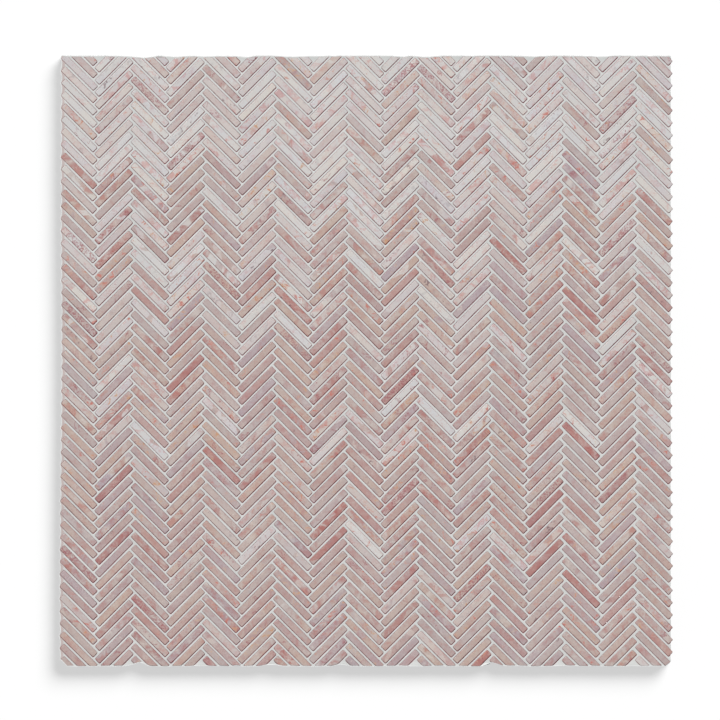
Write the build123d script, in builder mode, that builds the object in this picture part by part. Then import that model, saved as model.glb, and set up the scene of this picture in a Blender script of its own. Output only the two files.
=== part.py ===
from build123d import *
from math import sqrt
import os

# Limestone herringbone mosaic sheet, in millimetres.
# It lies on its back: +Z is the honed face, +Y runs along the zigzag columns.
# The origin is the middle of the underside.

# Driving dimensions of the laid pattern
column_count = 17
strip_length = 24.2
strip_width = 3.15
joint_width = 1.2
sheet_length = 305.0

# Driving dimensions of the section
strip_thickness = 7.5
mesh_thickness = 0.5

# The mesh stops short of the sheet's edges by this much
mesh_setback = 2.0

# A trimmed strip that would reach less far than this into the sheet is not set
smallest_offcut = 2.5

# A strip leans 45 degrees, and its neighbours lie one joint away on every side
column_pitch = (strip_length + joint_width) / sqrt(2)
row_pitch = (strip_width + joint_width) * sqrt(2)
strip_reach = (strip_length + strip_width) / sqrt(2)
sheet_width = (column_count - 1) * column_pitch + strip_reach
middle_column = (column_count - 1) / 2


def rows_in(column):
    """Strips in one column. Next-door columns are half a row apart: odd counts beside even ones."""
    most_rows = 1 + int((sheet_length + strip_reach - 2 * smallest_offcut) / row_pitch)
    parity_is_right = most_rows % 2 == column % 2
    return most_rows if parity_is_right else most_rows - 1


os.makedirs("parts", exist_ok=True)

# Stone strips, one node for each zigzag column, each strip a separate solid
for column in range(column_count):
    column_x = (column - middle_column) * column_pitch
    lean = 45 if column % 2 else -45

    with BuildPart() as strips:
        with BuildSketch(Plane.XY.offset(mesh_thickness)):
            with Locations((column_x, 0)):
                with GridLocations(0, row_pitch, 1, rows_in(column)):
                    Rectangle(strip_length, strip_width, rotation=lean)
            # The saw cuts the sheet straight across, through the strips that run past its ends
            Rectangle(sheet_width, sheet_length, mode=Mode.INTERSECT)
        extrude(amount=strip_thickness)

    strips.part.label = f"strips_column_{column + 1:02d}"
    export_step(strips.part, f"parts/{strips.part.label}.step")

# Glass-fibre mesh that every strip is glued to, so that the sheet is handled as one
with BuildPart() as mesh_backing:
    with BuildSketch(Plane.XY):
        Rectangle(sheet_width - 2 * mesh_setback, sheet_length - 2 * mesh_setback)
    extrude(amount=mesh_thickness)

mesh_backing.part.label = "mesh_backing"
export_step(mesh_backing.part, "parts/mesh_backing.step")
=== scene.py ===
# %% [markdown]
# # A herringbone mosaic sheet of tumbled limestone
# The real sheet is close on nine hundred slim stone strips, glued face up onto a glass-fibre net in
# 45 degree herringbone, with pale grout between them. The frame already holds the strips as plain
# blocks and the net as a plain plate. This lesson dresses them: every strip gets its eased edges,
# its wear and its own piece of stone, the grout is poured as one web, and the net is woven.

# %% Load the frame
import math
import random
from collections import namedtuple

import bmesh
import bpy
from mathutils import Matrix, Vector, noise


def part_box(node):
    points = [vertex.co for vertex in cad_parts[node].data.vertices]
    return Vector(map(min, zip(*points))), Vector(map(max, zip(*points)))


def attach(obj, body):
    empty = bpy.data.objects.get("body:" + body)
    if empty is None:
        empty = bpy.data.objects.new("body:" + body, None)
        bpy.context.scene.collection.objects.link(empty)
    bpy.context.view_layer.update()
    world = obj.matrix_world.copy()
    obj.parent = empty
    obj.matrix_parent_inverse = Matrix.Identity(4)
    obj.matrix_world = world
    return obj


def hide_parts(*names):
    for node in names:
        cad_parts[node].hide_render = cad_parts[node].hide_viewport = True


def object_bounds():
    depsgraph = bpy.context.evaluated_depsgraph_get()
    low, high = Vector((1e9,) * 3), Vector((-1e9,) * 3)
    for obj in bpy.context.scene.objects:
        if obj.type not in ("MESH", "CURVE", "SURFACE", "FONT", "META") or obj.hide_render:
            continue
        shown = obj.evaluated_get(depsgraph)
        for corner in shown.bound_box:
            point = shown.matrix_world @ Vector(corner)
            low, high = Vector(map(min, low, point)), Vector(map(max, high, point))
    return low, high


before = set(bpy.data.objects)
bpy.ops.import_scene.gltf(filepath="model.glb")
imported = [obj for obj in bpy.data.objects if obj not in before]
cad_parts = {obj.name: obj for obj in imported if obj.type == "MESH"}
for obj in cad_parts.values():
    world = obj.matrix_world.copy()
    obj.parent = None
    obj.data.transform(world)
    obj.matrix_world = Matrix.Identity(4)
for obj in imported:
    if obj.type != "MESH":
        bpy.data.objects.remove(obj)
cad_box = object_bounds()
print("CAD box from", cad_box[0], "to", cad_box[1])

# %% [markdown]
# ## The sizes behind the pattern
# A herringbone has only three sizes: the strip's length, its width and the joint. Everything else
# follows, because each strip lies one joint away from its neighbours on every side. At 45 degrees
# the columns are (length + joint) / sqrt 2 apart and the rows (width + joint) x sqrt 2 apart. The
# outer box comes from the frame, so the pattern can't drift away from the solids it dresses.

# %% Sizes in metres
mm = 0.001
strip_length = 24.2 * mm
strip_width = 3.15 * mm
joint_width = 1.2 * mm
joint_recess = 0.15 * mm
smallest_offcut = 2.5 * mm

sheet_low, sheet_high = (Vector(corner) for corner in cad_box)
sheet_size = sheet_high - sheet_low
bed_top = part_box("mesh_backing")[1].z
face_top = sheet_high.z

column_names = sorted(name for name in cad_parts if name.startswith("strips_column_"))
column_count = len(column_names)
column_pitch = (strip_length + joint_width) / math.sqrt(2)
row_pitch = (strip_width + joint_width) * math.sqrt(2)
strip_reach = (strip_length + strip_width) / math.sqrt(2)
print(f"{column_count} columns, {column_pitch / mm:.2f} mm apart, rows {row_pitch / mm:.2f} mm apart")

# %% [markdown]
# ## The camera
# The photograph looks straight down from far away: no strip shows its side, and the sheet's edges
# stay parallel. A long lens high above the sheet gives that. The sheet stands a little right of the
# picture's middle, so the camera stands a little left of the sheet's.

# %% Camera straight above
frame_pixels = 720
sheet_pixels = 611
sheet_middle_pixel = Vector((366.0, 360.9))
pixel = sheet_size.y / sheet_pixels
camera_height = 3.0

camera = bpy.data.objects.new("camera", bpy.data.cameras.new("camera"))
camera.data.sensor_width = 36.0
camera.data.lens = camera.data.sensor_width * (camera_height - face_top) / (frame_pixels * pixel)
camera.data.clip_end = 20.0
aside = (frame_pixels / 2 - sheet_middle_pixel.x) * pixel
up = (sheet_middle_pixel.y - frame_pixels / 2) * pixel
camera.location = (aside, up, camera_height)
bpy.context.scene.collection.objects.link(camera)
bpy.context.scene.camera = camera
print(f"lens {camera.data.lens:.0f} mm, one pixel is {pixel / mm:.3f} mm")

# %% [markdown]
# ## Materials from small helpers
# Every finish here is a handful of noise patterns mixed in a chain. Two helpers keep that readable:
# one turns the usual 0 to 255 colours into the linear values that shaders use, the other adds a
# node, sets its values and links what is already a socket. The rest of the recipe class gives plain
# names to the few kinds of node that these finishes need.

# %% Colour and node helpers
def colour(red, green, blue):
    """An sRGB colour as the linear values of a shader socket."""
    def linear(value):
        share = value / 255
        return share / 12.92 if share <= 0.04045 else ((share + 0.055) / 1.055) ** 2.4
    return (linear(red), linear(green), linear(blue), 1.0)


class Recipe:
    """A material that grows node by node."""

    def __init__(self, name):
        self.material = bpy.data.materials.new(name)
        self.material.use_nodes = True
        self.tree = self.material.node_tree
        self.tree.nodes.clear()

    def add(self, kind, inputs=None, **settings):
        node = self.tree.nodes.new(kind)
        for name, value in settings.items():
            setattr(node, name, value)
        for socket, value in (inputs or {}).items():
            if isinstance(value, bpy.types.NodeSocket):
                self.tree.links.new(value, node.inputs[socket])
            else:
                node.inputs[socket].default_value = value
        return node

    def read(self, attribute):
        """What the mesh's points carry under this name."""
        return self.add("ShaderNodeAttribute", attribute_name=attribute)

    def sums(self, operation, first, second=0.0, clamp=False):
        node = self.add("ShaderNodeMath", {0: first, 1: second}, operation=operation, use_clamp=clamp)
        return node.outputs[0]

    def times(self, first, second):
        return self.sums("MULTIPLY", first, second)

    def plus(self, first, second):
        return self.sums("ADD", first, second)

    def less(self, first, second):
        return self.sums("SUBTRACT", first, second)

    def noise(self, place, scale, detail=2.0, roughness=0.5, distortion=0.0):
        values = {"Vector": place, "Scale": scale, "Detail": detail,
                  "Roughness": roughness, "Distortion": distortion}
        return self.add("ShaderNodeTexNoise", values).outputs["Fac"]

    def band(self, value, low, high, to_low=0.0, to_high=1.0):
        """A smooth step from low to high."""
        values = {"Value": value, "From Min": low, "From Max": high, "To Min": to_low, "To Max": to_high}
        return self.add("ShaderNodeMapRange", values, interpolation_type="SMOOTHSTEP").outputs["Result"]

    def mix(self, share, under, over, blend="MIX"):
        node = self.add("ShaderNodeMix", data_type="RGBA", blend_type=blend)
        for socket, value in (("Factor_Float", share), ("A_Color", under), ("B_Color", over)):
            target = next(s for s in node.inputs if s.identifier == socket)
            if isinstance(value, bpy.types.NodeSocket):
                self.tree.links.new(value, target)
            else:
                target.default_value = value
        return next(s for s in node.outputs if s.identifier == "Result_Color")

    def tint(self, tone, red, green, blue):
        return self.mix(1.0, tone, (red, green, blue, 1.0), blend="MULTIPLY")

    def ramp(self, value, *stops):
        """A colour between two stops, each of them a value and its tone."""
        node = self.add("ShaderNodeValToRGB", {"Fac": value})
        for element, (position, tone) in zip(node.color_ramp.elements, stops):
            element.position = position
            element.color = tone
        return node.outputs["Color"]

    def grainy(self, height, strength):
        """A bump of a tenth of a millimetre at most."""
        values = {"Height": height, "Strength": strength, "Distance": 0.0001}
        return self.add("ShaderNodeBump", values).outputs[0]

    def finish(self, **values):
        surface = self.add("ShaderNodeBsdfPrincipled", values)
        self.add("ShaderNodeOutputMaterial", {"Surface": surface.outputs[0]})
        return self.material


print("mid grey 128 is", round(colour(128, 128, 128)[0], 3), "as a linear value")

# %% [markdown]
# ## Limestone
# The stone is a pink and grey limestone, honed. A strip shows one small place of a big block. Two
# things make it read as many pieces of stone and not as one printed face: each strip has its own
# tones, and each looks at its own place in the block. Both travel as attributes on the strip's
# points. `block_place` is where in the block the strip was sawn, in millimetres, so the figure breaks
# off at every joint, and `figure` says how busy, rusty, wine stained and crackled the strip is. The
# figure itself is built up in layers. Each layer is a short function that takes the tone so far and
# gives it back with its own marks, so a layer can be left out or tried alone.

# %% Colours of the stone's marks
pale_cloud = colour(210, 204, 198)
rust_halos = (colour(207, 160, 146), colour(208, 178, 150))
rust_cores = (colour(196, 112, 102), colour(200, 152, 118))
wine_stain = colour(154, 80, 90)
healed_crack = colour(226, 212, 202)
smoke_grey = colour(158, 152, 156)
ink_stain = colour(112, 84, 92)
pit_shade = colour(120, 92, 92)
grain_shade = colour(150, 132, 130)
print("the marks' colours run from", [round(c, 2) for c in ink_stain[:3]],
      "to", [round(c, 2) for c in healed_crack[:3]])

# %% [markdown]
# ### Beds and clouds
# The ground is a tone between chalk and rose, and on many strips it changes to another tone along a
# fairly sharp line, a bed of the block. Over both lie soft clouds some millimetres across. A noise
# pattern taken as a height gives both: the line is where it passes one value, and the clouds are the
# whole of its rise and fall.

# %% Ground of the stone
def bedded(stone, place, busy):
    """The ground tone, with the partner tone beyond a bed line, and the distance from that line."""
    ground = stone.read("ground_tone").outputs["Color"]
    partner = stone.read("partner_tone").outputs["Color"]
    beds = stone.noise(place, 0.09, distortion=0.7)
    bed_line = stone.less(beds, stone.less(0.64, stone.times(busy, 0.12)))
    beyond = stone.times(stone.band(bed_line, -0.012, 0.012), 0.75)
    return stone.mix(beyond, ground, partner), bed_line


def clouded(stone, place, tone, busy):
    """Soft clouds, deeper and paler than the ground."""
    clouds = stone.noise(place, 0.17, detail=3.0, roughness=0.55, distortion=0.9)
    mottle = stone.noise(place, 0.95, detail=3.0, roughness=0.65)
    swing = stone.times(stone.less(clouds, 0.5), stone.plus(2.4, stone.times(busy, 8.0)))
    fine_swing = stone.times(stone.less(mottle, 0.5), stone.plus(2.2, stone.times(busy, 2.0)))
    swing = stone.plus(swing, fine_swing)
    deeper = stone.tint(tone, 0.94, 0.66, 0.65)
    tone = stone.mix(stone.sums("MULTIPLY", swing, 0.9, clamp=True), tone, deeper)
    return stone.mix(stone.sums("MULTIPLY", swing, -0.4, clamp=True), tone, pale_cloud)


def drifting(stone, place, tone):
    """A slow drift of hue along the strip, from peach to mauve."""
    hue = stone.band(stone.noise(place, 0.11, detail=1.0), 0.35, 0.65)
    return stone.mix(hue, stone.tint(tone, 1.015, 0.99, 0.97), stone.tint(tone, 0.985, 0.98, 1.0))


print("ground layers: bedded, clouded, drifting")

# %% [markdown]
# ### Rust, wine and cracks
# Iron left its stains in the stone: rust coloured veins along the beds, flecks with a salmon halo, and
# now and then a wine coloured patch with a mottled inside and a darker border. Pale lines are cracks
# that healed long ago. A vein, a border and a crack are all the same trick, a narrow band of values
# on either side of one value of a noise pattern.

# %% Stains and cracks
def rusted(stone, place, tone, rust, bed_line):
    """Broken veins along the bed lines, and flecks with a soft salmon halo."""
    broken = stone.band(stone.noise(place, 0.5), 0.42, 0.6)
    vein = stone.times(stone.band(stone.sums("ABSOLUTE", bed_line), 0.016, 0.003), broken)
    vein = stone.times(vein, stone.band(rust, 0.45, 0.8))
    rust_cloud = stone.noise(place, 0.3, detail=4.0, roughness=0.6, distortion=1.1)
    rust_reach = stone.less(rust_cloud, stone.less(0.81, stone.times(rust, 0.2)))
    ochre = stone.band(stone.noise(place, 0.06, detail=1.0), 0.45, 0.62)
    halo_tone = stone.mix(ochre, *rust_halos)
    core_tone = stone.mix(ochre, *rust_cores)
    tone = stone.mix(stone.times(stone.band(rust_reach, -0.1, 0.02), 0.55), tone, halo_tone)
    tone = stone.mix(stone.times(stone.band(rust_reach, 0.0, 0.025), 0.85), tone, core_tone)
    return stone.mix(stone.times(vein, 0.8), tone, core_tone)


def wine_stained(stone, place, tone, wine):
    """Patches with a mottled inside and a darker border."""
    wine_cloud = stone.noise(place, 0.2, detail=4.0, roughness=0.65, distortion=0.9)
    wine_reach = stone.less(wine_cloud, stone.less(0.85, stone.times(wine, 0.28)))
    inside = stone.band(wine_reach, 0.0, 0.02)
    holes = stone.band(stone.noise(place, 1.3), 0.4, 0.62)
    border = stone.band(stone.sums("ABSOLUTE", stone.less(wine_reach, 0.012)), 0.014, 0.002)
    mottled = stone.times(inside, stone.times(holes, 0.7))
    return stone.mix(stone.sums("MAXIMUM", mottled, stone.times(border, 0.8)), tone, wine_stain)


def crackled(stone, place, tone, crackle):
    """A fine pale net on some strips, and now and then one wider healed crack."""
    cells = stone.add("ShaderNodeTexVoronoi", {"Vector": place, "Scale": 0.75, "Randomness": 1.0},
                      feature="DISTANCE_TO_EDGE").outputs["Distance"]
    net = stone.times(stone.band(cells, 0.09, 0.0), stone.band(crackle, 0.8, 1.0, 0.0, 0.3))
    crack_noise = stone.noise(place, 0.085, detail=3.0, distortion=0.3)
    crack = stone.band(stone.sums("ABSOLUTE", stone.less(crack_noise, 0.5)), 0.0035, 0.0005, 0.0, 0.5)
    crack = stone.times(crack, stone.band(crackle, 0.3, 0.6))
    return stone.mix(stone.sums("MAXIMUM", net, crack), tone, healed_crack)


print("stain layers: rusted, wine_stained, crackled")

# %% [markdown]
# ### Smoke, pits, and the unhoned and shaded sides
# The palest strips have grey smoke and small ink dark stains. Every strip has fine pits, and the
# grain that honing leaves. A strip's rim and sides were never honed, so they are darker, and painted
# shade darkens them further, most of all on the side turned away from the key lamp. The attribute
# `depth` carries both: how far a point lies below the face, weighted towards that side, because a
# shader can't see which part of a strip it is on.

# %% The stone's finish
def smoked(stone, place, tone, rust):
    """Grey smoke and ink dark stains, on the strips without much rust."""
    smoke = stone.band(stone.noise(place, 0.3, detail=3.0), 0.56, 0.7)
    tone = stone.mix(stone.times(smoke, stone.band(rust, 0.35, 0.0, 0.0, 0.4)), tone, smoke_grey)
    ink = stone.band(stone.noise(place, 0.4, detail=4.0, distortion=0.8), 0.6, 0.7)
    return stone.mix(stone.times(ink, stone.band(rust, 0.07, 0.03, 0.0, 0.75)), tone, ink_stain)


def limestone():
    stone = Recipe("honed_limestone")
    place = stone.read("block_place").outputs["Vector"]
    figure = stone.read("figure")
    shares = stone.add("ShaderNodeSeparateColor", {"Color": figure.outputs["Color"]})
    busy, rust, wine = (shares.outputs[channel] for channel in ("Red", "Green", "Blue"))

    tone, bed_line = bedded(stone, place, busy)
    tone = clouded(stone, place, tone, busy)
    tone = drifting(stone, place, tone)
    tone = rusted(stone, place, tone, rust, bed_line)
    tone = wine_stained(stone, place, tone, wine)
    tone = crackled(stone, place, tone, figure.outputs["Alpha"])
    tone = smoked(stone, place, tone, rust)

    grain = stone.noise(place, 4.5)
    pit = stone.band(stone.noise(place, 1.7, detail=1.0), 0.73, 0.78)
    tone = stone.mix(stone.times(pit, 0.5), tone, pit_shade)
    tone = stone.mix(stone.band(grain, 0.35, 0.7, 0.0, 0.2), tone, grain_shade)
    # Painted shade: the unhoned rim and sides go darker with `depth`, most on the side turned away from the
    # key lamp.
    raw_and_shaded_tone = stone.tint(tone, 0.56, 0.33, 0.36)
    tone = stone.mix(stone.read("depth").outputs["Fac"], tone, raw_and_shaded_tone)
    relief = stone.less(stone.times(grain, 0.15), pit)
    return stone.finish(**{"Base Color": tone, "Roughness": 0.55, "Normal": stone.grainy(relief, 0.35)})


stone_material = limestone()
print("made", stone_material.name)

# %% [markdown]
# ## Grout
# Cement grout is pale, matt and a little sandy. It takes no figure, only a faint unevenness where it
# was wiped off wetter or drier. Two things come from the web's points, because only the shape knows
# them. `hollow_and_shade` is where the float dug the grout out beside a strip, and a wine coloured
# painted shade lies in that hollow, strongest on the side turned away from the key lamp. `rim` is 1
# on the thin pale fringe along the sheet's upper, lower and left edge, and below 0 just inside it on
# the left, where pink stone dust lies. The fringe is pale on its upper side only, and the grout's own
# normal tells that side from the walls.

# %% The grout's finish
def cement_grout():
    grout = Recipe("cement_grout")
    coordinates = grout.add("ShaderNodeTexCoord").outputs
    place = coordinates["Object"]
    wiping = grout.noise(place, 60.0, detail=3.0)
    sand = grout.noise(place, 2600.0)
    tone = grout.ramp(wiping, (0.3, colour(203, 205, 203)), (0.7, colour(213, 214, 212)))
    tone = grout.mix(grout.band(sand, 0.62, 0.75, 0.0, 0.3), tone, colour(186, 184, 181))

    # Painted shade: wine red in the hollow beside each strip, patchy, strongest on the side turned from the
    # key lamp.
    patchy = grout.band(grout.noise(place, 90.0), 0.3, 0.7, 0.75, 1.3)
    painted_shade = grout.times(grout.read("hollow_and_shade").outputs["Fac"], patchy)
    tone = grout.mix(grout.band(painted_shade, 0.05, 0.6), tone, colour(136, 66, 76))

    upward = grout.add("ShaderNodeSeparateXYZ", {"Vector": coordinates["Normal"]}).outputs["Z"]
    rim = grout.times(grout.read("rim").outputs["Fac"], grout.band(upward, 0.3, 0.8))
    tone = grout.mix(grout.band(rim, 0.0, 0.45), tone, colour(229, 230, 229))
    tone = grout.mix(grout.band(rim, -0.1, -0.6, 0.0, 0.6), tone, colour(186, 158, 154))
    return grout.finish(**{"Base Color": tone, "Roughness": 0.9, "Normal": grout.grainy(sand, 0.3)})


grout_material = cement_grout()
print("made", grout_material.name)

# %% [markdown]
# ## Glass yarn
# The net's yarns are glass fibre in a milky coating, a little glossy. The net lies under the stone
# and shows only when the sheet is turned over, so one fine noise between two whites is enough.

# %% The net's finish
def coated_yarn():
    yarn = Recipe("coated_glass_yarn")
    place = yarn.add("ShaderNodeTexCoord").outputs["Object"]
    fibres = yarn.noise(place, 1500.0)
    tone = yarn.ramp(fibres, (0.35, colour(214, 216, 212)), (0.65, colour(234, 235, 232)))
    return yarn.finish(**{"Base Color": tone, "Roughness": 0.45})


yarn_material = coated_yarn()
print("made", yarn_material.name)

# %% [markdown]
# ## From bmesh to object
# All shapes here are made as a bmesh, Blender's editable mesh. Two helpers end that work: one adds a
# small shape to a bigger one, so that hundreds of strips become one mesh, and the other turns a
# finished shape into an object of the scene.

# %% Mesh helpers
def join(bigger, part):
    """Adds a shape to a bigger one, and lets the small one go."""
    carrier = bpy.data.meshes.new("carrier")
    part.to_mesh(carrier)
    part.free()
    bigger.from_mesh(carrier)
    bpy.data.meshes.remove(carrier)


def make_piece(name, shape, material):
    """An object with the finished shape, which stays at the scene's origin."""
    mesh = bpy.data.meshes.new(name)
    shape.to_mesh(mesh)
    shape.free()
    mesh.materials.append(material)
    piece = bpy.data.objects.new(name, mesh)
    bpy.context.scene.collection.objects.link(piece)
    return piece


def all_of(shape):
    return shape.verts[:] + shape.edges[:] + shape.faces[:]


trial = bmesh.new()
for _ in range(2):
    cube = bmesh.new()
    bmesh.ops.create_cube(cube)
    join(trial, cube)
print("two cubes joined have", len(trial.faces), "faces")
trial.free()

# %% [markdown]
# ## Where every strip lies
# The layer's hand shows. A strip lies a little off its place, a fraction of a degree turned and a
# little low; whole patches of strips have drifted together; and the middle columns bow to the left.
# These differences are drawn once and kept with the strip, because the grout needs the same places
# as the stone. Both sources of chance get a fixed seed. Blender's vector noise needs one too: without
# it, its offsets come from the clock, and every run would lay a slightly different sheet.

# %% The strips' places
Strip = namedtuple("Strip", "column x y lean sunk")
laying_seed = 41
laying = random.Random(laying_seed)
noise.seed_set(laying_seed)
slip = 0.07 * mm
turn = math.radians(0.3)
lippage = 0.12 * mm
column_bow = 0.9 * mm
bow_skew = 1.4
patch_drift = 0.35 * mm
patch_size = 60 * mm


def rows_in(column):
    """Strips in one column: next-door columns are half a row apart, so odd counts sit beside even."""
    most_rows = 1 + int((sheet_size.y + strip_reach - 2 * smallest_offcut) / row_pitch)
    return most_rows if most_rows % 2 == column % 2 else most_rows - 1


def lay_strip(column, row):
    across = column / (column_count - 1)
    x = (column - (column_count - 1) / 2) * column_pitch
    y = (row - (rows_in(column) - 1) / 2) * row_pitch
    drift = noise.noise_vector(Vector((x, y, 0.0)) / patch_size) * patch_drift
    bow = column_bow * math.sin(math.pi * across ** bow_skew)
    return Strip(column,
                 x + drift.x - bow + laying.uniform(-slip, slip),
                 y + drift.y + laying.uniform(-slip, slip),
                 math.radians(45 if column % 2 else -45) + laying.uniform(-turn, turn),
                 laying.uniform(0.0, lippage))


columns = [[lay_strip(column, row) for row in range(rows_in(column))] for column in range(column_count)]
print(sum(len(column) for column in columns), "strips in", column_count, "columns")

# %% [markdown]
# ## The cut edges
# The sheet's top and bottom were cut across by hand and not quite straight: the cut waves a little,
# dips where the saw was steered off and on again, and at the bottom both corners are broken away. One
# function gives that line, and stone and grout are both cut along it. Each dip is a bell curve at a
# given place. Blender cuts a mesh with a flat plane, so the mesh is first shifted until the wavy line
# is straight, then cut, then shifted back.

# %% The line of the cut
Swell = namedtuple("Swell", "x width rise")
cut_margin = 0.05 * mm
box_margin = 0.01 * mm
cut_wander = 0.3 * mm
wander_length = 15 * mm
cut_chatter = 0.3 * mm
chatter_length = 3.5 * mm


def swells(*in_mm):
    return [Swell(*(size * mm for size in swell)) for swell in in_mm]


top_swells = swells((-111, 6, -0.8), (-96, 4, -0.7), (-80, 5, -0.4), (-60, 3.5, -0.7), (-36, 6, -0.5),
                    (17, 4, -0.6), (30, 5, -0.6), (82, 3, -0.5), (118, 3, -0.8))
bottom_swells = swells((-113, 3.2, -2.1), (-47, 3, -1.3), (-12, 3, -1.3), (64, 2.2, -2.8), (97, 2, -1.0))

# A lost corner is deepest at its x and slopes to nothing over its width, counted into the sheet
lost_corners = [Swell(sheet_low.x + 1.2 * mm, 3.0 * mm, 3.2 * mm),
                Swell(sheet_high.x - 1.0 * mm, -3.0 * mm, 2.2 * mm)]


def cut_line(side, x):
    """How far along Y the cut runs at x. Side 1 is the top edge, -1 the bottom."""
    wander = noise.noise(Vector((x / wander_length, 7.3 * side, 0.0))) * cut_wander
    wander += noise.noise(Vector((x / chatter_length, 2.9 * side, 0.0))) * cut_chatter
    dips = top_swells if side > 0 else bottom_swells
    swell = sum(dip.rise * math.exp(-((x - dip.x) / dip.width) ** 2) for dip in dips)
    reach = sheet_size.y / 2 - cut_margin + wander + swell
    if side < 0:
        for corner in lost_corners:
            inside = max(0.0, (x - corner.x) / corner.width)
            if inside < 1.0:
                reach -= corner.rise * (1.0 - inside)
    return side * min(reach, sheet_size.y / 2 - box_margin)


def cut_along(shape, axis, side, line, take_off=True):
    """Cuts along a wavy line, which gives the cut's place along one axis, and takes off the outside."""
    for vert in shape.verts:
        vert.co[axis] -= line(vert.co[1 - axis])
    outwards = Vector((0.0, 0.0, 0.0))
    outwards[axis] = side
    bmesh.ops.bisect_plane(shape, geom=all_of(shape), plane_co=(0.0, 0.0, 0.0), plane_no=outwards,
                           clear_outer=take_off)
    for vert in shape.verts:
        vert.co[axis] += line(vert.co[1 - axis])


print(f"at the middle the top cut runs {cut_line(1, 0.0) / mm:.1f} mm above the sheet's centre")

# %% [markdown]
# ## The side with the broken ends, and the side in the key lamp's shade
# The sheet's left and right are left as laid, so strip ends stick out like teeth. On the left those
# ends are broken off a little, less so near the bottom. The key lamp shines from the top and a little
# from the left, so a strip's side that faces down and a little to the right lies in its shade. That
# side gets painted shade on the stone's rim and in the grout's hollow beside it, and the grout is dug
# out deepest there; all of them ask how much a side faces that way.

# %% Left ends and shaded sides
left_break = 1.35 * mm
left_recovery = 0.95 * mm
recovery_from = 45 * mm
recovery_length = 60 * mm
along_strip = 1.1
key_lamp_turn = math.radians(20)
away_from_key_lamp = Vector((math.sin(key_lamp_turn), -math.cos(key_lamp_turn), 0.0))


def left_trim(y):
    """How much shorter a strip of the leftmost column is at its outer end."""
    recovered = min(1.0, max(0.0, (-y - recovery_from) / recovery_length))
    return (left_break - left_recovery * recovered) * along_strip


def turned_from_lamp(outward):
    """How far a side faces away from the key lamp, from 0 to 1."""
    flat = Vector((outward.x, outward.y, 0.0))
    return max(0.0, flat.normalized().dot(away_from_key_lamp)) if flat.length > 0.0 else 0.0


print(f"left ends are {left_trim(sheet_low.y) / mm:.2f} to {left_trim(0.0) / mm:.2f} mm shorter")

# %% [markdown]
# ## One strip
# A strip starts as a sawn bar. Its corners are then rounded, the rim of its face is eased, and
# handling knocks small chips out of that rim. That is the order here too: a cube scaled to a bar,
# cross cuts so that its long sides can waver, a bevel on the four uprights, and a smaller bevel round
# the rim. The bar is a tenth of a millimetre wider than a strip's plain size, all on its upper long
# side, because the joints look narrower there. A strip has under a hundred faces, which is all that
# nine hundred of them can afford.

# %% A strip's blank
upper_spread = 0.12 * mm
corner_round = 0.42 * mm
corner_shares = (0.95, 1.0, 1.1, 1.3)
rim_ease = 0.33 * mm
rim_shares = (0.8, 1.15)
side_starts = 0.09 * mm
straight_up = 0.9


def rounded(shape, edges, size):
    bmesh.ops.bevel(shape, geom=edges, offset=size, segments=2, profile=0.5, affect="EDGES", material=-1)


def blank_strip(rng):
    """A strip along X with its middle at the origin and its face at z = 0."""
    depth = face_top - bed_top
    blank = bmesh.new()
    size = Matrix.Diagonal((strip_length, strip_width + upper_spread, depth, 1.0))
    middle = Matrix.Translation((0.0, upper_spread / 2, -depth / 2))
    bmesh.ops.create_cube(blank, size=1.0, matrix=middle @ size)
    lengthwise = [e for e in blank.edges if abs(e.verts[0].co.x - e.verts[1].co.x) > strip_length / 2]
    bmesh.ops.subdivide_edges(blank, edges=lengthwise, cuts=3, use_grid_fill=True)

    uprights = [e for e in blank.edges if abs(e.verts[0].co.z - e.verts[1].co.z) > depth / 2
                and abs(e.verts[0].co.x) > strip_length / 2 - mm]
    for upright in uprights:
        rounded(blank, [upright], corner_round * rng.choice(corner_shares))

    for way in (1, -1):
        bmesh.ops.dissolve_faces(blank, faces=[f for f in blank.faces if way * f.normal.z > straight_up])
    face = next(f for f in blank.faces if f.normal.z > straight_up)
    rounded(blank, face.edges[:], rim_ease * rng.uniform(*rim_shares))
    below_face = blank.verts.layers.float.new("below_face")
    for vert in blank.verts:
        vert[below_face] = min(1.0, -vert.co.z / side_starts)
    return blank


sample = blank_strip(random.Random(1))
print("a strip's blank has", len(sample.faces), "faces")
sample.free()

# %% [markdown]
# ### Wear
# Tumbling leaves no two strips alike. A noise field pulls the long sides in by a few hundredths of a
# millimetre, with another place in the field for each strip. One or two chips then bend a short
# stretch of the rim inwards. Moving points is cheaper here than cutting: it adds no face.

# %% Wear a strip
side_waver = 0.03 * mm
waver_length = 6 * mm
waver_field = 90
rim_reach = 0.4 * mm
chip_counts = (0, 0, 1, 2)
chip_depth = 0.12 * mm
chip_reach = 1.5 * mm
chip_sink = 0.4


def wear(blank, rng):
    """Wavers the sides, and knocks a chip or two out of the rim, never below the grout."""
    seed = Vector((rng.uniform(0, waver_field), rng.uniform(0, waver_field), 0.0))
    for vert in blank.verts:
        sway = noise.noise_vector(Vector((vert.co.x, vert.co.y, 0.0)) / waver_length + seed)
        vert.co.x -= math.copysign(abs(sway.x) * side_waver, vert.co.x)
        vert.co.y -= math.copysign(abs(sway.y) * side_waver, vert.co.y)
    rim = [v for v in blank.verts if v.co.z > -0.9 * rim_ease and abs(v.co.y) > strip_width / 2 - rim_reach]
    for _ in range(rng.choice(chip_counts)):
        at = rng.choice(rim).co.copy()
        depth = chip_depth * rng.uniform(0.3, 1.0)
        for vert in rim:
            near = max(0.0, 1.0 - (vert.co - at).length / chip_reach)
            vert.co.y -= math.copysign(depth * near, vert.co.y)
            vert.co.z -= depth * near * chip_sink


print(f"a chip is up to {chip_depth / mm:.2f} mm deep and {2 * chip_reach / mm:.0f} mm long")
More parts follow.
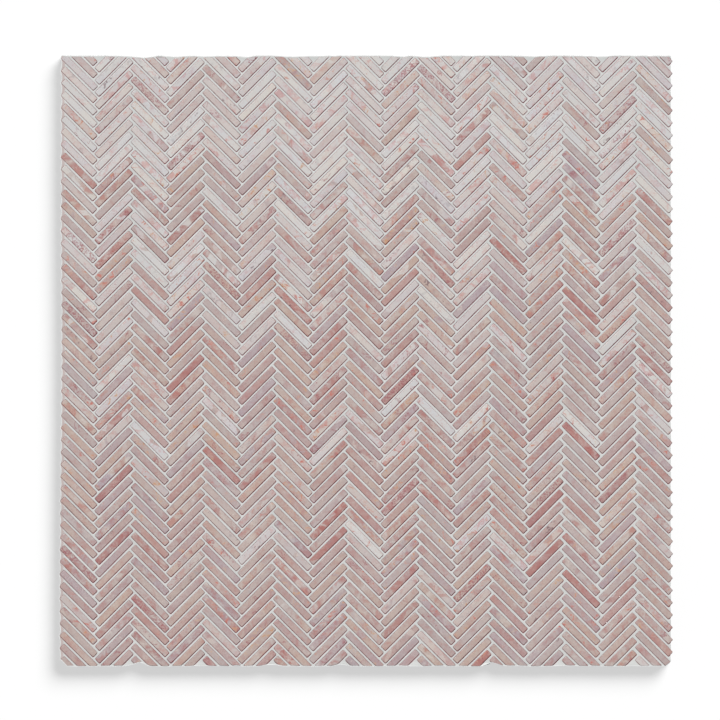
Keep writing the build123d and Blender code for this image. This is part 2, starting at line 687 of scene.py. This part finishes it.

# %% [markdown]
# ## What stone each strip is
# The strips fall into a few kinds: chalky and pearl grey ones, which gather at the top of the sheet,
# shell and blush pinks everywhere, and deeper rose, mauve and brick ones lower down.
# Many strips change kind somewhere along their length, so each gets a ground and a partner. A `Kind`
# names a tone and how common it is at the top of the sheet and low down.

# %% Kinds of stone
Kind = namedtuple("Kind", "tone top low")
kinds = {
    "chalk": Kind((213, 213, 211), 0.43, 0.00),
    "pearl": Kind((208, 203, 202), 0.36, 0.015),
    "shell": Kind((200, 189, 185), 0.15, 0.10),
    "blush": Kind((188, 173, 169), 0.06, 0.26),
    "peach": Kind((191, 171, 162), 0.01, 0.20),
    "rose": Kind((185, 162, 158), 0.00, 0.20),
    "mauve": Kind((181, 165, 167), 0.00, 0.11),
    "clay": Kind((184, 151, 146), 0.00, 0.10),
    "brick": Kind((177, 131, 127), 0.00, 0.03),
}
sorting = random.Random(7)
tone_jitter = 0.02
warm_jitter = 0.012
warm_in_blue = 1.5
paling = 3.3
pale_from = 0.9
deep_wine = 1.4
deep_wine_odds = 0.025


def pick_tone(strip):
    """The linear colour of one kind of stone, picked for the strip's height on the sheet."""
    up = min(1.0, max(0.0, (strip.y - sheet_low.y) / sheet_size.y / pale_from)) ** paling
    weights = [kind.top * up + kind.low * (1 - up) for kind in kinds.values()]
    kind = sorting.choices(list(kinds.values()), weights)[0]
    red, green, blue, alpha = colour(*kind.tone)
    light = 1 + sorting.gauss(0.0, tone_jitter)
    warm = sorting.gauss(0.0, warm_jitter)
    return red * light * (1 + warm), green * light, blue * light * (1 - warm_in_blue * warm), alpha


def figure_shares():
    """How busy, rusty, wine stained and crackled one strip is, each from 0 to 1, or more for deep wine."""
    wine = deep_wine if sorting.random() < deep_wine_odds else sorting.random() ** 2
    return sorting.random() ** 3, sorting.random(), wine, sorting.random()


print(len(kinds), "kinds of stone")

# %% [markdown]
# ## Cutting a strip, and keeping its pocket
# A strip that crosses the sheet's top or bottom is cut there. The cut is wavy but a bar has few
# points, so the bar is first sliced in small bites, and each bite then follows the wave. The strips
# stop a little short of the cut line, because a thin fringe of grout is left outside them. Once cut,
# the strip's underside is kept as the outline of its pocket: the grout is shaped round the very same
# bars.

# %% Cut and keep
pockets = bmesh.new()
saw_step = 0.2 * mm
saw_bite = 0.9 * mm
fringe = {1: 0.55 * mm, -1: 0.25 * mm}


def cut_strip(blank, step):
    """Cuts a strip where it crosses the sheet's top or bottom edge."""
    for side in (1, -1):
        def line(x):
            return cut_line(side, x) - side * (fringe[side] + step)
        if max(side * (v.co.y - line(v.co.x)) for v in blank.verts) <= 0.0:
            continue
        crossing = [v.co.x for v in blank.verts if side * (v.co.y - line(v.co.x)) > -strip_width]
        low, high = min(crossing), max(crossing)
        for bite in range(1, int((high - low) / saw_bite)):
            bmesh.ops.bisect_plane(blank, geom=all_of(blank), plane_co=(low + bite * saw_bite, 0.0, 0.0),
                                   plane_no=(1.0, 0.0, 0.0))
        cut_along(blank, 1, side, line)
        bmesh.ops.holes_fill(blank, edges=[e for e in blank.edges if e.is_boundary], sides=0)


def keep_pocket(blank):
    """Copies the strip's underside to the pockets, as one face."""
    outline = blank.copy()
    above = [f for f in outline.faces if max(v.co.z for v in f.verts) > bed_top]
    bmesh.ops.delete(outline, geom=above, context="FACES")
    bmesh.ops.dissolve_faces(outline, faces=outline.faces[:])
    join(pockets, outline)


print(f"fringe of grout: {fringe[1] / mm:.2f} mm at the top, {fringe[-1] / mm:.2f} mm at the bottom")

# %% [markdown]
# ## Columns of strips
# All strips of a column become one mesh, which stands for the column's node. Each strip is worn
# along X, where that is easy, and only then turned to its place. Its points then get what the finish
# reads: the place in the block, the tones, the figure, and the depth below the face, which also
# carries painted shade on the side turned away from the key lamp.

# %% Lay one bar
end_zone = 2 * mm
right_trim = 0.35 * mm
block_size = 4000
raw_and_shade_share = 0.65
lamp_shade_share = 0.35


def lay_bar(strip):
    """A worn bar at the strip's place, sat on the net and cut, and the matrix that put it there."""
    blank = blank_strip(sorting)
    wear(blank, sorting)
    for vert in blank.verts:
        if strip.column == 0 and vert.co.x < end_zone - strip_length / 2:
            vert.co.x += left_trim(strip.y)
        if strip.column == column_count - 1 and vert.co.x > strip_length / 2 - end_zone:
            vert.co.x -= right_trim
    at = Matrix.Translation((strip.x, strip.y, face_top - strip.sunk))
    lie = at @ Matrix.Rotation(strip.lean, 4, "Z")
    bmesh.ops.transform(blank, matrix=lie, verts=blank.verts[:])
    for vert in blank.verts:
        if vert.co.z < bed_top + mm:
            vert.co.z = bed_top
    bmesh.ops.recalc_face_normals(blank, faces=blank.faces[:])
    cut_strip(blank, sorting.uniform(0.0, saw_step))
    bmesh.ops.recalc_face_normals(blank, faces=blank.faces[:])
    return blank, lie


def mark_bar(blank, lie, strip, values):
    """Adds what the finish reads at the bar's points to the column's lists, and keeps it in the box."""
    sawn_from = Vector([sorting.uniform(0, block_size) for _ in range(3)])
    back = lie.inverted()
    below_face = blank.verts.layers.float["below_face"]
    blank.normal_update()
    for vert in blank.verts:
        values["block_place"] += [*(back @ vert.co / mm + sawn_from)]
        # depth: how far below the face, weighted towards the side turned from the key lamp, as painted
        # shade
        values["depth"].append(vert[below_face] * (raw_and_shade_share + lamp_shade_share * turned_from_lamp(vert.normal)))
        vert.co.x = min(max(vert.co.x, sheet_low.x), sheet_high.x)
        vert.co.y = min(max(vert.co.y, sheet_low.y), sheet_high.y)
    blank.verts.layers.float.remove(below_face)
    values["ground_tone"] += [*pick_tone(strip)] * len(blank.verts)
    values["partner_tone"] += [*pick_tone(strip)] * len(blank.verts)
    values["figure"] += [*figure_shares()] * len(blank.verts)


first_strip = columns[0][0]
print(f"the first strip lies at {first_strip.x / mm:.1f}, {first_strip.y / mm:.1f} mm")

# %% [markdown]
# The rounded rim is smooth shaded, so that two segments look like a curve. The face and the sides stay
# flat, or the whole strip would look like a cushion.

# %% Build the columns
value_types = {"block_place": ("FLOAT_VECTOR", "vector"), "ground_tone": ("FLOAT_COLOR", "color"),
               "partner_tone": ("FLOAT_COLOR", "color"), "figure": ("FLOAT_COLOR", "color"),
               "depth": ("FLOAT", "value")}


def build_column(name, strips):
    bars = bmesh.new()
    values = {attribute: [] for attribute in value_types}
    for strip in strips:
        blank, lie = lay_bar(strip)
        keep_pocket(blank)
        mark_bar(blank, lie, strip, values)
        join(bars, blank)
    for face in bars.faces:
        face.smooth = 0.05 < face.normal.z < 0.999
    piece = make_piece(name, bars, stone_material)
    for attribute, (kind, field) in value_types.items():
        data = piece.data.attributes.new(attribute, kind, "POINT").data
        data.foreach_set(field, values[attribute])
    return piece


sheet_pieces = []
for name, strips in zip(column_names, columns):
    piece = build_column(name.replace("strips_", "limestone_"), strips)
    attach(piece, "root")
    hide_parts(name)
    sheet_pieces.append(piece)
    print(name, len(strips), "strips,", len(piece.data.polygons), "faces")

# %% [markdown]
# ## The web of grout
# Grout is worked into all joints at once, so it sets as one web with a pocket for every strip. It
# could be a plain plate that the strips poke through, but then the joint would be dead flat. Here
# each pocket's outline is first widened by a band. The band's inner edge will be sunk, most of all on
# the strip's lower side, which is turned away from the key lamp, where the float dug the grout out
# behind the strip. `hollow_and_shade` says how far, and how strong the painted shade in it is.

# %% A band round every pocket
shrink_band = 0.3 * mm
least_scoop = 0.3
cut_reach = 0.8 * mm

pocket_faces = pockets.faces[:]
bmesh.ops.inset_individual(pockets, faces=pocket_faces, thickness=-shrink_band, use_even_offset=False)
band_edges = dict.fromkeys(e for face in pocket_faces for e in face.edges)
bmesh.ops.delete(pockets, geom=pocket_faces, context="FACES_ONLY")
hollow_and_shade = pockets.verts.layers.float.new("hollow_and_shade")
# Hollow and painted shade: a little all round, more where the side faces away from the key lamp.
for vert in pockets.verts:
    if any(e.is_boundary and e not in band_edges for e in vert.link_edges):
        outer = next(e.other_vert(vert) for e in vert.link_edges if not e.is_boundary)
        side = math.copysign(1, vert.co.y)
        at_the_cut = side * (cut_line(side, vert.co.x) - vert.co.y) < cut_reach
        vert[hollow_and_shade] = least_scoop if at_the_cut else max(least_scoop, turned_from_lamp(outer.co - vert.co))
print(len(pocket_faces), "pockets with", len(pockets.faces), "faces round them")

# %% [markdown]
# ### Pouring
# The rest of the sheet is filled between the bands, out to a frame that lies past the sheet's edges.
# The frame's sides are divided finely, so that the fill has points near the edges for the wavy cut to
# follow. On the left the grout has to follow the strips' ends as well, so what lies there is sliced
# across in small bites.

# %% Pour the grout
pour_margin = 6 * mm
pour_cuts = 220
tip_bite = 0.8 * mm
left_strip = 2 * mm

web = pockets
pour_size = (sheet_size.x / 2 + pour_margin, sheet_size.y / 2 + pour_margin, 1.0, 1.0)
pour = bmesh.ops.create_grid(web, x_segments=1, y_segments=1, size=1.0, matrix=Matrix.Diagonal(pour_size))
frame_edges = list(dict.fromkeys(e for v in pour["verts"] for e in v.link_edges))
bmesh.ops.delete(web, geom=[pour["verts"][0].link_faces[0]], context="FACES_ONLY")
bmesh.ops.subdivide_edges(web, edges=frame_edges, cuts=pour_cuts)
frame_edges = [e for e in web.edges if e.is_wire]
bmesh.ops.triangle_fill(web, use_beauty=True, use_dissolve=False, edges=[*band_edges, *frame_edges])

left_faces = [f for f in web.faces if min(v.co.x for v in f.verts) < sheet_low.x + left_strip]
left_edges = dict.fromkeys(e for f in left_faces for e in f.edges)
left_verts = dict.fromkeys(v for f in left_faces for v in f.verts)
at_left = [*left_faces, *left_edges, *left_verts]
for bite in range(int(sheet_size.y / tip_bite)):
    at_left = bmesh.ops.bisect_plane(web, geom=at_left, plane_no=(0.0, 1.0, 0.0),
                                     plane_co=(0.0, sheet_low.y + bite * tip_bite, 0.0))["geom"]
print("filled web has", len(web.faces), "faces")

# %% [markdown]
# ### Teeth of grout
# Between the strip ends on the left and right the grout reaches some way out. On the right it stays
# well inside, wavering a little. On the left it just covers the broken ends and bulges round each of
# them, so its line is worked out from the tips of the leftmost strips.

# %% The line of the teeth
tooth_depth = 1.2 * mm
tooth_wander = {1: 0.3 * mm, -1: 0.15 * mm}
tooth_length = 4 * mm
tip_bulge = 0.6 * mm
bulge_length = 1.5 * mm
tip_cover = 0.4 * mm
left_margin = 0.04 * mm


def left_tip(strip):
    """The outermost corner of a strip of the leftmost column."""
    corner = Vector((left_trim(strip.y) - strip_length / 2, -strip_width / 2))
    corner.rotate(Matrix.Rotation(strip.lean, 2))
    return corner + Vector((strip.x, strip.y))


left_tips = [left_tip(strip) for strip in columns[0]]


def tooth_line(side, y):
    """How far along X the grout reaches between the strip ends that stick out of a side."""
    wander = noise.noise(Vector((y / tooth_length, 3.1 * side, 0.0))) * tooth_wander[side]
    if side > 0:
        return sheet_size.x / 2 - tooth_depth + wander
    row = round((y - left_tips[0].y) / row_pitch)
    tip = left_tips[min(max(row, 0), len(left_tips) - 1)]
    bulge = tip_bulge * math.exp(-((y - tip.y) / bulge_length) ** 2)
    return max(tip.x + tip_cover - bulge - wander, sheet_low.x + left_margin)


teeth = [tooth_line(side, 0.0) / mm for side in (-1, 1)]
print(f"halfway up, the grout reaches from {teeth[0]:.1f} to {teeth[1]:.1f} mm")

# %% [markdown]
# ### Shaping the web
# The flat web is brought to its height, a little below the face and not quite even, with its hollows
# beside the strips. It is sliced a rim's width inside its outline, and then cut off along the outline
# itself, so that the pale rim has points of its own to start and end at.

# %% Shape the grout
grout_face = face_top - joint_recess
scoop_depth = 0.12 * mm
level_wander = 0.05 * mm
hill_size = 9 * mm
ripple_size = 1.5 * mm
ripple_share = 0.6
rim_width = 0.45 * mm
dust_width = 1.6 * mm
dust = -0.6


def rim_share(place):
    """1 on the upper, lower and left edge, 0 a rim's width inwards, and below 0 where dust lies."""
    past_left = place.x - tooth_line(-1, place.y)
    inside = min([past_left] + [side * (cut_line(side, place.x) - place.y) for side in (1, -1)])
    if inside < 0.98 * rim_width:
        return 1.0 - max(0.0, inside) / rim_width
    return dust if past_left < dust_width else 0.0


for vert in web.verts:
    uneven = noise.noise(vert.co / hill_size) + ripple_share * noise.noise(vert.co / ripple_size)
    vert.co.z = grout_face + uneven * level_wander - vert[hollow_and_shade] * scoop_depth
for side in (1, -1):
    for axis, line in ((1, cut_line), (0, tooth_line)):
        cut_along(web, axis, side, lambda at: line(side, at) - side * rim_width, take_off=False)
        cut_along(web, axis, side, lambda at: line(side, at))
rim = web.verts.layers.float.new("rim")
for vert in web.verts:
    vert[rim] = rim_share(vert.co)
print("cut to its outline, the web has", len(web.faces), "faces")

# %% [markdown]
# ### Walls
# So far the web is a skin. Drawing a copy of it down to just above the net gives it its walls, round
# the outside and in every pocket, and closes it underneath. Its top is smooth shaded and its walls
# are flat, so the edges between the two are marked sharp.

# %% Draw the grout down to the net
grout_gap = 0.1 * mm

upper_faces = web.faces[:]
for face in upper_faces:
    face.smooth = True
drawn = bmesh.ops.extrude_face_region(web, geom=upper_faces, use_keep_orig=True)["geom"]
for vert in (item for item in drawn if isinstance(item, bmesh.types.BMVert)):
    vert.co.z = bed_top + grout_gap
for face in web.faces:
    face.smooth = all(v.co.z > bed_top + mm for v in face.verts)
for edge in web.edges:
    edge.smooth = len({face.smooth for face in edge.link_faces}) == 1
bmesh.ops.recalc_face_normals(web, faces=web.faces[:])
open_edges = sum(1 for e in web.edges if not e.is_manifold)
print("the web has", len(web.faces), "faces and", open_edges, "open edges")

grout_web = make_piece("grout_web", web, grout_material)
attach(grout_web, "root")
sheet_pieces.append(grout_web)

# %% [markdown]
# ## The net behind
# The strips are glued to a net of coated glass fibre, the usual one for such sheets: flat yarns about
# half a millimetre wide, five millimetres apart, woven over and under. One yarn is a narrow grid that
# gets its thickness by an extrusion. It is repeated across the sheet and bent up and down, each next
# one half a wave later. The yarns along the other way are the same ones, turned.

# %% Weave the net
yarn_pitch = 5.0 * mm
yarn_width = 0.55 * mm
yarn_thick = 0.18 * mm
full_wave = 0.98
net_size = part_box("mesh_backing")[1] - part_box("mesh_backing")[0]


def straight_yarn(crossings):
    """A flat yarn along X, as a mesh, with two steps from each crossing to the next."""
    yarn = bmesh.new()
    size = Matrix.Diagonal((crossings * yarn_pitch / 2, yarn_width / 2, 1.0, 1.0))
    bmesh.ops.create_grid(yarn, x_segments=2 * crossings, y_segments=1, size=1.0, matrix=size)
    drawn = bmesh.ops.extrude_face_region(yarn, geom=yarn.faces[:], use_keep_orig=True)["geom"]
    upper = [item for item in drawn if isinstance(item, bmesh.types.BMVert)]
    bmesh.ops.translate(yarn, vec=(0, 0, yarn_thick), verts=upper)
    bmesh.ops.recalc_face_normals(yarn, faces=yarn.faces[:])
    flat = bpy.data.meshes.new("yarn")
    yarn.to_mesh(flat)
    yarn.free()
    return flat


def weave(net, length, spread, turned):
    """Adds the yarns that run one way to the net, each bent over and under the ones that cross it."""
    crossings = int(length / yarn_pitch)
    places = int(spread / yarn_pitch)
    flat = straight_yarn(crossings)
    for place in range(places):
        before = len(net.verts)
        net.from_mesh(flat)
        net.verts.ensure_lookup_table()
        across = (place - (places - 1) / 2) * yarn_pitch
        phase = math.pi * (place + turned)
        for vert in net.verts[before:]:
            wave = math.cos(math.pi * vert.co.x / yarn_pitch + phase + math.pi * crossings / 2)
            vert.co.z += (bed_top - yarn_thick) / 2 * (1 + full_wave * wave)
            vert.co.y += across
            if turned:
                vert.co.x, vert.co.y = -vert.co.y, vert.co.x
    bpy.data.meshes.remove(flat)


net = bmesh.new()
weave(net, net_size.x, net_size.y, False)
weave(net, net_size.y, net_size.x, True)
print("the net has", len(net.faces), "faces")

glass_net = make_piece("glass_fibre_net", net, yarn_material)
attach(glass_net, "root")
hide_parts("mesh_backing")
sheet_pieces.append(glass_net)

# %% [markdown]
# ## Floor
# The floor is white paper. For the camera it shines by itself a little, so that it comes out white
# without more light on the stone, and it still darkens where the sheet shades it. All other rays meet
# a plain dull grey: what white paper throws back would bleach the sheet's pale sides.

# %% White paper
paper_grey = 0.17
paper_shine = 0.582
bounce_grey = 0.12
floor_half = 6.0


def white_paper():
    paper = Recipe("white_paper")
    rays = paper.add("ShaderNodeLightPath").outputs
    seen = paper.sums("MAXIMUM", rays["Is Camera Ray"], rays["Is Glossy Ray"])
    seen = paper.sums("MAXIMUM", seen, rays["Is Transmission Ray"])
    lit = paper.add("ShaderNodeBsdfDiffuse", {"Color": (paper_grey, paper_grey, paper_grey, 1.0)})
    shine = paper.add("ShaderNodeEmission", {"Color": (1, 1, 1, 1), "Strength": paper_shine})
    both = paper.add("ShaderNodeAddShader", {0: lit.outputs[0], 1: shine.outputs[0]})
    plain = paper.add("ShaderNodeBsdfDiffuse", {"Color": (bounce_grey, bounce_grey, bounce_grey, 1.0)})
    shown = paper.add("ShaderNodeMixShader", {0: seen, 1: plain.outputs[0], 2: both.outputs[0]})
    paper.add("ShaderNodeOutputMaterial", {"Surface": shown.outputs[0]})
    return paper.material


paper_sheet = bmesh.new()
bmesh.ops.create_grid(paper_sheet, x_segments=1, y_segments=1, size=floor_half)
floor = make_piece("floor", paper_sheet, white_paper())
print("the floor is", 2 * floor_half, "m wide")

# %% [markdown]
# ## Light
# Under an even sky, one lamp stands fairly low above the top of the sheet, a little to the left, and
# draws a shade along each strip's lower side. The soft shadow beside the sheet falls the other way,
# down and to the left, as in a product picture whose shadow was made apart. So the floor has a lamp of
# its own, wider and from the right. Light linking keeps each lamp to what it is for.

# %% Sky and lamps
world = bpy.data.worlds.new("studio")
world.use_nodes = True
sky = world.node_tree.nodes["Background"]
sky.inputs["Color"].default_value = (1.0, 1.0, 1.0, 1.0)
sky.inputs["Strength"].default_value = 0.28
bpy.context.scene.world = world


def distant_lamp(name, azimuth, elevation, share, softness, lit):
    """A soft distant lamp for some objects. Azimuth is counted from +Y towards -X, in degrees."""
    lamp = bpy.data.lights.new(name, "SUN")
    lamp.energy = share * math.pi / math.sin(math.radians(elevation))
    lamp.angle = math.radians(softness)
    holder = bpy.data.objects.new(name, lamp)
    holder.rotation_euler = (math.radians(elevation - 90), 0.0, math.radians(azimuth))
    bpy.context.scene.collection.objects.link(holder)
    receivers = bpy.data.collections.new("lit_by_" + name)
    for item in lit:
        receivers.objects.link(item)
    holder.light_linking.receiver_collection = receivers
    print(name, "lights", len(lit), "objects")


distant_lamp("key_lamp", azimuth=20, elevation=36, share=0.72, softness=8, lit=sheet_pieces)
distant_lamp("floor_lamp", azimuth=-36, elevation=38, share=2.2, softness=35, lit=[floor])

# %% [markdown]
# ## Colours as written
# Blender's usual view transform rolls bright colours off as film does. The Standard one shows them as
# they are, which is what a picture on white needs.

# %% View transform
bpy.context.scene.view_settings.view_transform = "Standard"
print("view transform", bpy.context.scene.view_settings.view_transform)
